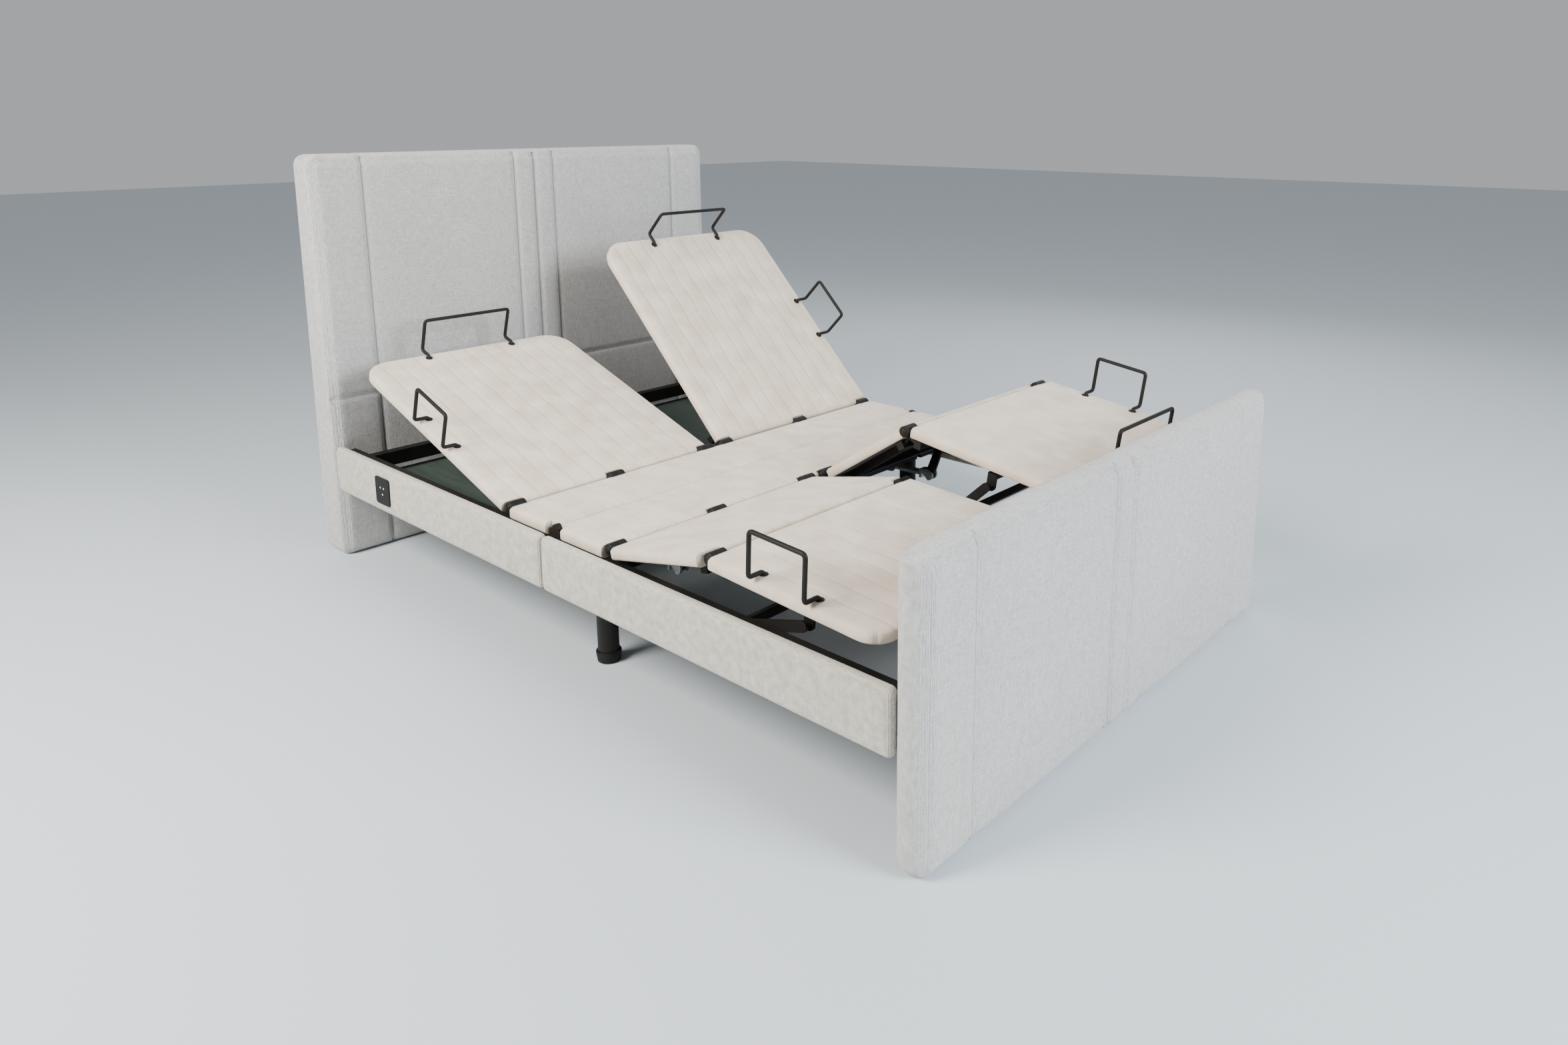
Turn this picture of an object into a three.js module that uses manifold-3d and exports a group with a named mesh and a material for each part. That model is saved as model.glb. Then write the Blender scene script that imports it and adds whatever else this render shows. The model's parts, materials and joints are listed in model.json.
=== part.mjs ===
// Adjustable bed base for two sleepers: an upholstered bed frame around a split steel frame,
// with a lifting back section and a lifting leg section on each side.
// Millimetres, +Z up, +X towards the foot end, +Y towards the right side seen from the foot.
// The origin is on the floor, at the middle of the whole bed.
import * as THREE from "three";
import { mergeVertices } from "three/addons/utils/BufferGeometryUtils.js";
import Module from "manifold-3d";

const wasm = await Module();
wasm.setup();

// Upholstered outer bed
const innerLength = 2050;          // headboard face to footboard face
const overallWidth = 1400;
const headboardHeight = 1155;
const headboardDepth = 135;        // at the floor
const headboardTopDepth = 100;
const footboardHeight = 590;
const footboardDepth = 72;
const railThickness = 28;
const railHeight = 130;
const railTop = 335;
const softRadius = 12;             // upholstered edges

// Deck sections, as distances from the headboard face
const backHingeAt = 830;
const splitAt = 1025;
const thighHingeAt = 1225;
const backLength = 750;
const thighLength = 322;           // hinge to knee
const legLength = 450;
const panelThickness = 30;
const deckTop = 350;
const panelOuter = 660;            // deck edge, from the middle of the bed
const panelInner = 22;             // half of the gap between the two sides
const headCornerRadius = 75;
const footCornerRadius = 50;

// Hinge axes
const pivotBelowTop = 8;
const kneeBelowTop = 16;
const pinRadius = 6;
const pinClearance = 0.3;
const eyeRadius = 13;
const plate = 8;                   // thickness of ears and hinge plates
const plateGap = 0.6;
const earToTube = 3;               // outer fixed ear to the frame tube
const backEndGap = 5;              // back and thigh panels, from their hinge axis
const seatEndGap = 6;              // seat panels, from the same axis
const kneeClearance = 0.9;         // between the two panels when the knee is fully folded
const notchDepth = 28;
const notchHalfWidth = 15;

// Positions of the two sides as stored: the left side low, the right side high
const sides = [
  { name: "left", sign: -1, backAngle: 18.5, thighAngle: 12.6 },
  { name: "right", sign: 1, backAngle: 45, thighAngle: 33 },
];
const backFullAngle = 63;
const thighFullAngle = 38;
const legPerThigh = 1.24;          // the leg section folds down as the thigh section rises

// Steel frame
const tubeWidth = 30;
const tubeDepth = 80;
const frameTop = 318;
const railToTube = 2;
const crossWidth = 30;
const crossDepth = 40;
const crankRelief = 20;            // cut in each hinge bar where a crank swings in
const endCrossDrop = 20;           // end crossbars below the frame's top
const centreWidth = 25;
const splitGap = 6;
const touch = 0.3;                 // gap between pieces that touch

// Moving sub-frames under the deck sections
const subTube = 20;
const subInset = 60;               // panel's outer edge to the tube
const subInnerInset = 50;
const crossInset = 4;              // panel's inner edge to the end of a cross tube
const subEndInset = 40;

// Actuators
const backDriveY = 200;
const kneeDriveY = 450;
const crankRadius = 105;
const anchorHeight = 228;
const driveHousing = 250;          // anchor eye to the mouth of the outer tube
const outerTubeRadius = 18;
const rodRadius = 9;
const rodLength = 185;
const forkLength = 30;
const forkHalfHeight = 17;
const motorOffset = 46;

// Leg supports
const legPinFromKnee = 250;
const legPinBelowTube = 19.7;
const armWidth = 6;
const armToTube = 10;              // frame tube to the support arm
const lugToArm = 12;

// Mattress retainers
const wireRadius = 5;
const wireHeight = 100;
const wireFoot = 28;               // panel edge to where the wire enters the deck
const wireProud = 12;              // panel edge to the upright wire, outside it
const wireBend = 16;
const sideWireLength = 145;
const endWireWidth = 265;
const backWireAt = 350;            // middle of the side wire, from the back hinge
const legWireAt = 215;             // middle of the side wire, from the knee

// Legs, board and electrics
const legFromHead = 1078;
const legFromMiddle = 562;
const legRadius = 25;
const legCapRadius = 30;
const legCapHeight = 28;
const boardThickness = 6;
const boardEndAt = 750;
const socketSize = 75;
const socketAt = 285;
const socketProud = 3.5;

const overallLength = headboardDepth + innerLength + footboardDepth;
const headFace = headboardDepth - overallLength / 2;
const footFace = headFace + innerLength;
const railInner = overallWidth / 2 - railThickness;
const tubeOuter = railInner - railToTube;
const tubeInner = tubeOuter - tubeWidth;
const railBottom = railTop - railHeight;
const tubeBottom = frameTop - tubeDepth;
const pivotHeight = deckTop - pivotBelowTop;
const kneeHeight = deckTop - kneeBelowTop;
const backHingeX = headFace + backHingeAt;
const thighHingeX = headFace + thighHingeAt;
const splitX = headFace + splitAt;
const subTop = deckTop - panelThickness - touch;
const subBottom = subTop - subTube;
const legPinDrop = kneeHeight - subBottom + legPinBelowTube;
const kneeFold = thighFullAngle * legPerThigh * Math.PI / 180;
const kneeEndGap = (panelThickness - kneeBelowTop) * Math.tan(kneeFold / 2) + kneeClearance;
const outerPlateY = tubeInner - plate - earToTube;
const innerPlateY = panelInner + 15;
const middlePlateY = (panelOuter + panelInner) / 2;
const hingePlates = [outerPlateY, middlePlateY, innerPlateY];
const crossReach = outerPlateY + touch;
const kneeOuterY = outerPlateY - plate - touch;
const kneePlates = [kneeOuterY, innerPlateY];
const outerArmY = tubeInner - armToTube;
const innerArmY = centreWidth / 2 + 4;
const outerLugY = outerArmY - lugToArm - armWidth;
const innerLugY = innerArmY + armWidth + lugToArm + 3.5;
const backBarX = backHingeX + 31;
const thighBarX = thighHingeX - 31;
const degrees = THREE.MathUtils.degToRad;

const fabric = { color: 0xb9b3a6, roughness: 0.9, metalness: 0 };
const deckCloth = { color: 0xcfc6b6, roughness: 0.92, metalness: 0 };
const blackSteel = { color: 0x1d1c1b, roughness: 0.45, metalness: 0.6 };
const greenBoard = { color: 0x1d2a24, roughness: 0.8, metalness: 0 };
const blackPlastic = { color: 0x191919, roughness: 0.5, metalness: 0 };
const greySteel = { color: 0x8b8d90, roughness: 0.3, metalness: 0.9 };

const bed = new THREE.Group();

// ---- Shape helpers ----

function solid(geometry) {
  const bare = geometry.index ? geometry.toNonIndexed() : geometry.clone();
  bare.deleteAttribute("normal");
  bare.deleteAttribute("uv");
  const merged = mergeVertices(bare, 1e-3);
  return new wasm.Manifold(new wasm.Mesh({
    numProp: 3,
    vertProperties: new Float32Array(merged.attributes.position.array),
    triVerts: new Uint32Array(merged.index.array),
  }));
}

function geometryOf(manifold) {
  const mesh = manifold.getMesh();
  const geometry = new THREE.BufferGeometry();
  geometry.setAttribute("position", new THREE.BufferAttribute(new Float32Array(mesh.vertProperties), 3));
  geometry.setIndex(new THREE.BufferAttribute(new Uint32Array(mesh.triVerts), 1));
  geometry.computeVertexNormals();
  return geometry;
}

function join(...geometries) {
  const first = solid(geometries[0]);
  return geometryOf(geometries.slice(1).reduce((whole, piece) => whole.add(solid(piece)), first));
}

function cut(geometry, ...tools) {
  return geometryOf(tools.reduce((whole, tool) => whole.subtract(solid(tool)), solid(geometry)));
}

function box(x0, x1, y0, y1, z0, z1) {
  const geometry = new THREE.BoxGeometry(Math.abs(x1 - x0), Math.abs(y1 - y0), Math.abs(z1 - z0));
  return geometry.translate((x0 + x1) / 2, (y0 + y1) / 2, (z0 + z1) / 2);
}

// A cylinder along Y, between two values of y
function pinAlongY(x, z, radius, y0, y1, segments = 12) {
  const geometry = new THREE.CylinderGeometry(radius, radius, Math.abs(y1 - y0), segments);
  return geometry.translate(x, (y0 + y1) / 2, z);
}

function rodAlongX(x0, x1, y, z, radius, segments = 14) {
  const geometry = new THREE.CylinderGeometry(radius, radius, x1 - x0, segments);
  return geometry.rotateZ(Math.PI / 2).translate((x0 + x1) / 2, y, z);
}

// A flat plate standing in the XZ plane, from an outline in x and z
function plateXZ(shape, y0, y1, curveSegments = 5) {
  const low = Math.min(y0, y1);
  const depth = Math.abs(y1 - y0);
  const geometry = new THREE.ExtrudeGeometry(shape, { depth, bevelEnabled: false, curveSegments });
  return geometry.rotateX(Math.PI / 2).translate(0, low + depth, 0);
}

function plateXY(shape, z0, z1, curveSegments = 6) {
  const depth = z1 - z0;
  return new THREE.ExtrudeGeometry(shape, { depth, bevelEnabled: false, curveSegments }).translate(0, 0, z0);
}

// A bar of one section along X, from an outline in y and z
function barAlongX(shape, x0, x1, curveSegments = 4) {
  const geometry = new THREE.ExtrudeGeometry(shape, { depth: x1 - x0, bevelEnabled: false, curveSegments });
  return geometry.rotateX(Math.PI / 2).rotateZ(Math.PI / 2).translate(x0, 0, 0);
}

function outline(points) {
  return new THREE.Shape(points.map(([a, b]) => new THREE.Vector2(a, b)));
}

// The outline of a link: round around one point, tapering to a straight foot. Seen from the eye,
// the first foot is the right-hand one
function linkOutline(eye, radius, footA, footB) {
  const shape = new THREE.Shape();
  const away = new THREE.Vector2((footA[0] + footB[0]) / 2 - eye[0], (footA[1] + footB[1]) / 2 - eye[1]);
  const start = away.angle() + Math.PI / 2;
  shape.absarc(eye[0], eye[1], radius, start, start + Math.PI, false);
  shape.lineTo(...footA);
  shape.lineTo(...footB);
  return shape;
}

// A path that runs straight between corners and turns each one with a round bend
class BentPath extends THREE.Curve {
  constructor(corners, bend, bendSteps) {
    super();
    this.stops = [corners[0]];
    for (let i = 1; i < corners.length - 1; i += 1) {
      const before = corners[i].clone().add(corners[i - 1].clone().sub(corners[i]).setLength(bend));
      const after = corners[i].clone().add(corners[i + 1].clone().sub(corners[i]).setLength(bend));
      const turn = new THREE.QuadraticBezierCurve3(before, corners[i], after);
      this.stops.push(...turn.getPoints(bendSteps));
    }
    this.stops.push(corners[corners.length - 1]);
  }

  get steps() {
    return this.stops.length - 1;
  }

  getPoint(t, target = new THREE.Vector3()) {
    const place = t * this.steps;
    const index = Math.min(Math.floor(place + 1e-9), this.steps - 1);
    return target.lerpVectors(this.stops[index], this.stops[index + 1], place - index);
  }

  getPointAt(u, target) {
    return this.getPoint(u, target);
  }

  getTangentAt(u, target = new THREE.Vector3()) {
    const index = Math.round(u * this.steps);
    const last = this.stops[Math.max(index - 1, 0)];
    const next = this.stops[Math.min(index + 1, this.steps)];
    return target.subVectors(next, last).normalize();
  }
}

function wire(corners, radius, bend, sides = 8, bendSteps = 3) {
  const path = new BentPath(corners.map((c) => new THREE.Vector3(...c)), bend, bendSteps);
  const section = new THREE.Shape();
  for (let i = 0; i < sides; i += 1) {
    const angle = (i + 0.5) * 2 * Math.PI / sides;
    const point = [radius * Math.cos(angle), radius * Math.sin(angle)];
    if (i === 0) section.moveTo(...point);
    else section.lineTo(...point);
  }
  return new THREE.ExtrudeGeometry(section, { steps: path.steps, extrudePath: path, bevelEnabled: false });
}

function add(parent, name, geometry, look) {
  const mesh = new THREE.Mesh(geometry, new THREE.MeshStandardMaterial(look));
  mesh.name = name;
  parent.add(mesh);
}

// A group whose origin is a hinge axis; positive angles raise a section that points to the head
function hingeGroup(parent, x, z, angle) {
  const group = new THREE.Group();
  group.position.set(x, 0, z);
  group.rotation.y = angle;
  parent.add(group);
  return group;
}

// Turn a point given as [x, z] so that positive angles raise what points to the foot
function raised([x, z], angle) {
  return [x * Math.cos(angle) - z * Math.sin(angle), x * Math.sin(angle) + z * Math.cos(angle)];
}

// ---- Upholstered outer bed ----

function headboard() {
  const back = -overallLength / 2;
  const topBack = headFace - headboardTopDepth;
  const topRadius = 32;
  const profile = new THREE.Shape();
  profile.moveTo(back, 0);
  profile.lineTo(headFace, 0);
  profile.lineTo(headFace, headboardHeight - topRadius);
  profile.absarc(headFace - topRadius, headboardHeight - topRadius, topRadius, 0, Math.PI / 2, false);
  const corner = topBack + softRadius;
  profile.lineTo(corner, headboardHeight);
  profile.absarc(corner, headboardHeight - softRadius, softRadius, Math.PI / 2, Math.PI, false);
  add(bed, "headboard", plateXZ(profile, -overallWidth / 2, overallWidth / 2), fabric);
}

function footboard() {
  const outer = overallLength / 2;
  const radius = footboardDepth / 2 - 1;
  const profile = new THREE.Shape();
  profile.moveTo(footFace, 0);
  profile.lineTo(outer, 0);
  profile.lineTo(outer, footboardHeight - radius);
  profile.absarc(outer - radius, footboardHeight - radius, radius, 0, Math.PI / 2, false);
  profile.absarc(footFace + radius, footboardHeight - radius, radius, Math.PI / 2, Math.PI, false);
  add(bed, "footboard", plateXZ(profile, -overallWidth / 2, overallWidth / 2), fabric);
}

// One upholstered side rail: its two outer edges are padded round
function sideRail(name, sign, x0, x1) {
  const outer = overallWidth / 2;
  const section = new THREE.Shape();
  section.moveTo(railInner, railBottom);
  section.lineTo(outer - softRadius, railBottom);
  section.absarc(outer - softRadius, railBottom + softRadius, softRadius, -Math.PI / 2, 0, false);
  section.lineTo(outer, railTop - softRadius);
  section.absarc(outer - softRadius, railTop - softRadius, softRadius, 0, Math.PI / 2, false);
  section.lineTo(railInner, railTop);
  const rail = barAlongX(section, x0, x1);
  if (sign < 0) rail.rotateZ(Math.PI).translate(x0 + x1, 0, 0);
  add(bed, name, rail, fabric);
}

function sideRails() {
  for (const side of sides) {
    sideRail(`side_rail_${side.name}_head`, side.sign, headFace + touch, splitX - splitGap / 2);
    sideRail(`side_rail_${side.name}_foot`, side.sign, splitX + splitGap / 2, footFace - touch);
  }
}

// ---- Steel frame ----

function frameTubes() {
  const endClear = 20;
  for (const side of sides) {
    const y0 = side.sign * tubeInner;
    const y1 = side.sign * tubeOuter;
    const head = box(headFace + touch, splitX - splitGap / 2, y0, y1, tubeBottom, frameTop);
    add(bed, `frame_tube_${side.name}_head`, head, blackSteel);
    const stub = pinAlongY(legPivotX, legPivotHeight, pinRadius, y0 - side.sign * 12, y0 + side.sign * 4);
    const foot = box(splitX + splitGap / 2, footFace - touch, y0, y1, tubeBottom, frameTop);
    add(bed, `frame_tube_${side.name}_foot`, join(foot, stub), blackSteel);
  }
  const reach = tubeInner - touch;
  const top = frameTop - endCrossDrop;
  const headEnd = headFace + endClear;
  const footEnd = footFace - endClear;
  const crossbar = (name, x0, z1) => {
    const bar = box(x0, x0 + crossWidth, -reach, reach, z1 - crossDepth, z1);
    add(bed, `frame_crossbar_${name}`, bar, blackSteel);
  };
  crossbar("head", headEnd, top);
  crossbar("split_head", splitX - splitGap / 2 - crossWidth, frameTop);
  crossbar("split_foot", splitX + splitGap / 2, frameTop);
  crossbar("foot", footEnd - crossWidth, top);
  const half = centreWidth / 2;
  const headRun = box(headEnd + crossWidth + touch, backBarX - crossWidth / 2 - touch, -half, half,
    tubeBottom, subBottom + 8);
  add(bed, "centre_tube_head", headRun, blackSteel);
  const footRun = box(thighBarX + crossWidth / 2 + touch, footEnd - crossWidth - touch, -half, half,
    tubeBottom, subBottom + 8);
  const centreStub = pinAlongY(legPivotX, legPivotHeight, pinRadius, -half - 12, half + 12);
  add(bed, "centre_tube_foot", join(footRun, centreStub), blackSteel);
}

// A fixed ear that reaches from a hinge bar up to the hinge axis, with its pin
function fixedEar(hingeX, barX, y, sign) {
  const face = barX + Math.sign(hingeX - barX) * (crossWidth / 2 - 2);
  const upper = [face, frameTop - 4];
  const lower = [face, frameTop - 30];
  const feet = hingeX < barX ? [lower, upper] : [upper, lower];
  const ear = linkOutline([hingeX, pivotHeight], eyeRadius, ...feet);
  return [
    plateXZ(ear, sign * y, sign * (y + plate)),
    pinAlongY(hingeX, pivotHeight, pinRadius, sign * (y - plate - plateGap - 1), sign * (y + 2)),
  ];
}

// Two cheeks that hang from a hinge bar and hold the rear eye of an actuator
function anchorCheeks(barX, y) {
  const cheek = linkOutline([barX, anchorHeight], 14, [barX + 14, frameTop - crossDepth + 2],
    [barX - 14, frameTop - crossDepth + 2]);
  return [
    plateXZ(cheek, y - 14, y - 8),
    plateXZ(cheek, y + 8, y + 14),
    pinAlongY(barX, anchorHeight, pinRadius, y - 16, y + 16),
  ];
}

function hingeBar(name, barX, hingeX, driveY, crankY) {
  const reach = tubeInner - touch;
  const half = crossWidth / 2;
  const pieces = [box(barX - half, barX + half, -reach, reach, frameTop - crossDepth, frameTop)];
  for (const side of sides) {
    for (const y of hingePlates) pieces.push(...fixedEar(hingeX, barX, y, side.sign));
    pieces.push(...anchorCheeks(barX, side.sign * driveY));
  }
  const face = barX + Math.sign(hingeX - barX) * half;
  const reliefs = sides.map(({ sign }) => box(face - crankRelief, face + crankRelief, sign * crankY - plate,
    sign * crankY + plate, frameTop - crossDepth - 1, frameTop - crossDepth + crankRelief));
  add(bed, name, cut(join(...pieces), ...reliefs), blackSteel);
}

function splitJoints() {
  const reach = 26;
  for (const side of sides) {
    const knuckle = new THREE.Shape();
    knuckle.moveTo(splitX - reach, frameTop + touch);
    knuckle.lineTo(splitX + reach, frameTop + touch);
    knuckle.absarc(splitX + reach - 8, frameTop + 12, 8, 0, Math.PI / 2, false);
    knuckle.absarc(splitX, deckTop - 14, 14, 0, Math.PI, false);
    knuckle.absarc(splitX - reach + 8, frameTop + 12, 8, Math.PI / 2, Math.PI, false);
    const y = side.sign * (tubeInner + 1);
    add(bed, `split_joint_${side.name}`, plateXZ(knuckle, y, y + side.sign * 12), blackSteel);
  }
}

function legs() {
  for (const side of sides) {
    const x = headFace + legFromHead;
    const y = side.sign * legFromMiddle;
    const top = frameTop - crossDepth - touch;
    const post = new THREE.CylinderGeometry(legRadius, legRadius, top - legCapHeight, 20);
    post.rotateX(Math.PI / 2).translate(x, y, (top + legCapHeight) / 2 + touch / 2);
    const flange = box(splitX + splitGap, x + 40, y - 40, y + 40, top - 5, top);
    add(bed, `leg_${side.name}`, join(post, flange), blackSteel);
    const cap = new THREE.CylinderGeometry(legCapRadius, legCapRadius - 3, legCapHeight - touch, 20);
    cap.rotateX(Math.PI / 2).translate(x, y, (legCapHeight - touch) / 2);
    add(bed, `leg_cap_${side.name}`, cap, blackPlastic);
  }
}

function bottomBoard() {
  const top = tubeBottom - touch;
  const half = tubeOuter - 8;
  const board = box(headFace + 24, headFace + boardEndAt, -half, half, top - boardThickness, top);
  add(bed, "bottom_board", board, greenBoard);
}

function socket() {
  const x = headFace + socketAt;
  const z = (railTop + railBottom) / 2;
  const half = socketSize / 2;
  const face = -overallWidth / 2 - touch;
  const cover = box(x - half, x + half, face - socketProud, face, z - half, z + half);
  const slot = 3;
  const spots = [[-9, 9], [9, 9], [0, -9]];
  const holes = spots.map(([dx, dz]) => box(x + dx - slot, x + dx + slot, face - socketProud - 1,
    face - socketProud + 2, z + dz - 3, z + dz + 3));
  add(bed, "socket_plate", cut(cover, ...holes), blackPlastic);
}

const controlBox = { x0: thighHingeX + 75, x1: thighHingeX + 275, y0: 40, y1: 160, z0: 222, z1: 282 };

function electrics() {
  const { x0, x1, y0, y1, z0, z1 } = controlBox;
  add(bed, "control_box", box(x0, x1, y0, y1, z0, z1), blackPlastic);
  const level = 271.5;
  const cross = thighHingeX - 75;
  const radius = 3.5;
  const middle = (y0 + y1) / 2;
  const kneeMotor = kneeDriveY + motorOffset;
  const trunk = wire([[x0 - touch, middle, 250], [x0 - 30, middle, 250], [x0 - 60, middle, level],
    [cross, middle, level]], radius, 8);
  const crossing = wire([[backHingeX + 110, -kneeMotor, level], [cross, -kneeMotor, level],
    [cross, kneeMotor, level], [backHingeX + 110, kneeMotor, level]], radius, 12);
  add(bed, "wiring_loom", join(crossing, trunk), blackPlastic);
}

// ---- Deck sections ----

function notchBoxes(hingeX, towards, y0, y1) {
  return box(hingeX, hingeX + towards * notchDepth, y0, y1, -deckTop, deckTop);
}

// Notches at the three hinge plates of one side; the outer one is open to the panel's edge
function hingeNotches(hingeX, towards, sign) {
  const outerEdge = panelOuter + 10;
  return hingePlates.map((y) => {
    const far = y === outerPlateY ? outerEdge : y + notchHalfWidth;
    return notchBoxes(hingeX, towards, sign * (y - notchHalfWidth), sign * far);
  });
}

// A deck panel of one side, its far corners rounded; x runs from the hinge axis
function deckPanel(sign, towards, start, end, radius, top) {
  const y0 = panelInner;
  const y1 = panelOuter;
  const shape = new THREE.Shape();
  shape.moveTo(start, y0);
  shape.lineTo(end - radius, y0);
  shape.absarc(end - radius, y0 + radius, radius, -Math.PI / 2, 0, false);
  shape.absarc(end - radius, y1 - radius, radius, 0, Math.PI / 2, false);
  shape.lineTo(start, y1);
  const panel = plateXY(shape, top - panelThickness, top);
  const placed = towards < 0 ? panel.rotateY(Math.PI).translate(0, 0, 2 * top - panelThickness) : panel;
  return sign < 0 ? placed.rotateX(Math.PI).translate(0, 0, 2 * top - panelThickness) : placed;
}

function seatPanels() {
  const bottom = frameTop + touch;
  const pieces = [
    { name: "head", x0: backHingeX + seatEndGap, x1: splitX - 1, hinge: backHingeX, towards: 1 },
    { name: "foot", x0: splitX + 1, x1: thighHingeX - seatEndGap, hinge: thighHingeX, towards: -1 },
  ];
  for (const piece of pieces) {
    const tools = sides.flatMap((side) => [
      ...hingeNotches(piece.hinge, piece.towards, side.sign),
      box(splitX - 30, splitX + 30, side.sign * (tubeInner - 6), side.sign * (panelOuter + 10),
        0, deckTop + 5),
    ]);
    const board = box(piece.x0, piece.x1, -panelOuter, panelOuter, bottom, deckTop);
    add(bed, `seat_panel_${piece.name}`, cut(board, ...tools), deckCloth);
  }
}

// A moving hinge plate: an eye on the axis and a foot on the sub-frame
function hingePlate(sign, y, eye, feet) {
  const shape = linkOutline(eye, eyeRadius, ...feet);
  const hole = pinAlongY(eye[0], eye[1], pinRadius + pinClearance, sign * (y - plate - 4), sign * (y + 4));
  return cut(plateXZ(shape, sign * (y - plate - plateGap), sign * (y - plateGap)), hole);
}

// A crank that hangs below a hinge axis and carries the boss that the actuator's fork embraces
function crank(sign, y, angle, root) {
  const tip = [crankRadius * Math.sin(angle), -crankRadius * Math.cos(angle)];
  const boss = pinAlongY(tip[0], tip[1], pinRadius + 2, sign * y - 4.8, sign * y + 4.8);
  return [plateXZ(linkOutline(tip, 14, [root + 20, subBottom - pivotHeight + 3],
    [root - 20, subBottom - pivotHeight + 3]), sign * y - 4, sign * y + 4), boss];
}

// A tube frame in panel coordinates. A cross tube at a hinge reaches out to the hinge plates
function subFrame(sign, hingeEnd, farEnd, top, hingeAtFarEnd = false) {
  const low = top - subTube;
  const outer = panelOuter - subInset;
  const inner = panelInner + subInnerInset;
  const step = Math.sign(farEnd - hingeEnd) * subTube;
  const atHinge = [panelInner + crossInset, crossReach];
  const [farInner, farOuter] = hingeAtFarEnd ? atHinge : [inner, outer];
  return [
    box(hingeEnd, farEnd, sign * (outer - subTube), sign * outer, low, top),
    box(hingeEnd, farEnd, sign * inner, sign * (inner + subTube), low, top),
    box(hingeEnd, hingeEnd + step, sign * atHinge[0], sign * atHinge[1], low, top),
    box(farEnd - step, farEnd, sign * farInner, sign * farOuter, low, top),
  ];
}

function sideWire(sign, centre, top) {
  const x0 = centre - sideWireLength / 2;
  const x1 = centre + sideWireLength / 2;
  const out = sign * (panelOuter + wireProud);
  const foot = sign * (panelOuter - wireFoot);
  const low = top + wireRadius + touch;
  const high = top + wireHeight;
  return wire([[x0, foot, low], [x0, out, low], [x0, out, high], [x1, out, high], [x1, out, low],
    [x1, foot, low]], wireRadius, wireBend);
}

function endWire(sign, end, towards, top) {
  const y0 = sign * middlePlateY - endWireWidth / 2;
  const y1 = sign * middlePlateY + endWireWidth / 2;
  const out = end + towards * wireProud;
  const foot = end - towards * wireFoot;
  const low = top + wireRadius + touch;
  const high = top + wireHeight;
  return wire([[foot, y0, low], [out, y0, low], [out, y0, high], [out, y1, high], [out, y1, low],
    [foot, y1, low]], wireRadius, wireBend);
}

function backSection(side) {
  const { name, sign } = side;
  const group = hingeGroup(bed, backHingeX, pivotHeight, degrees(side.backAngle));
  const top = pivotBelowTop;
  const panel = deckPanel(sign, -1, backEndGap, backLength, headCornerRadius, top);
  add(group, `back_panel_${name}`, cut(panel, ...hingeNotches(0, -1, sign)), deckCloth);
  const low = subTop - pivotHeight;
  const start = -notchDepth;
  const feet = [[start + 2, low], [start - 18, low - subTube + 2]];
  const plates = hingePlates.map((y) => hingePlate(sign, y, [0, 0], [feet[0], feet[1]]));
  const crankAngle = degrees(backFullAngle / 2);
  const steel = join(...subFrame(sign, start, -backLength + subEndInset, low), ...plates,
    ...crank(sign, backDriveY, crankAngle, start - 22));
  add(group, `back_frame_${name}`, steel, blackSteel);
  add(group, `back_side_wire_${name}`, sideWire(sign, -backWireAt, top), blackSteel);
  add(group, `back_head_wire_${name}`, endWire(sign, -backLength, -1, top), blackSteel);
}

const kneeDrop = kneeHeight - pivotHeight;
const legPin = [legPinFromKnee, -legPinDrop];

// Where the leg section's support pin is, for one lift of the thigh section
function legPinAt(thighAngle) {
  const knee = raised([thighLength, kneeDrop], thighAngle);
  const pin = raised(legPin, thighAngle * (1 - legPerThigh));
  return [thighHingeX + knee[0] + pin[0], pivotHeight + knee[1] + pin[1]];
}

// The support arm lies level when the deck is flat, and reaches the pin again at full lift
const flatPin = legPinAt(0);
const fullPin = legPinAt(degrees(thighFullAngle));
const armTurn = 2 * Math.atan2(flatPin[0] - fullPin[0], fullPin[1] - flatPin[1]);
const armLength = (fullPin[1] - flatPin[1]) / Math.sin(armTurn);
const armPerThigh = armTurn / degrees(thighFullAngle);
const legPivotX = flatPin[0] - armLength;
const legPivotHeight = flatPin[1];

function thighSection(side) {
  const { name, sign } = side;
  const thigh = hingeGroup(bed, thighHingeX, pivotHeight, -degrees(side.thighAngle));
  const top = pivotBelowTop;
  const end = thighLength - kneeEndGap;
  const low = subTop - pivotHeight;
  const panel = deckPanel(sign, 1, backEndGap, end, 1, top);
  const kneeNotches = kneePlates.map((y) => notchBoxes(thighLength, -1, sign * (y - notchHalfWidth),
    sign * (y === kneeOuterY ? panelOuter + 10 : y + notchHalfWidth)));
  add(thigh, `thigh_panel_${name}`, cut(panel, ...hingeNotches(0, 1, sign), ...kneeNotches), deckCloth);
  const start = notchDepth;
  const stop = thighLength - notchDepth;
  const feet = [[start + 18, low - subTube + 2], [start - 2, low]];
  const plates = hingePlates.map((y) => hingePlate(sign, y, [0, 0], feet));
  const knee = [thighLength, kneeDrop];
  const kneeFeet = [[stop + 2, low - 1], [stop - 14, low - subTube + 3]];
  const ears = kneePlates.flatMap((y) => [
    plateXZ(linkOutline(knee, eyeRadius, ...kneeFeet), sign * y, sign * (y + plate)),
    pinAlongY(knee[0], knee[1], pinRadius, sign * (y - plate - plateGap - 1), sign * (y + 2)),
  ]);
  const steel = join(...subFrame(sign, start, stop, low, true), ...plates, ...ears,
    ...crank(sign, kneeDriveY, -degrees(thighFullAngle / 2), start + 22));
  add(thigh, `thigh_frame_${name}`, steel, blackSteel);
  legSection(side, thigh);
}

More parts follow.
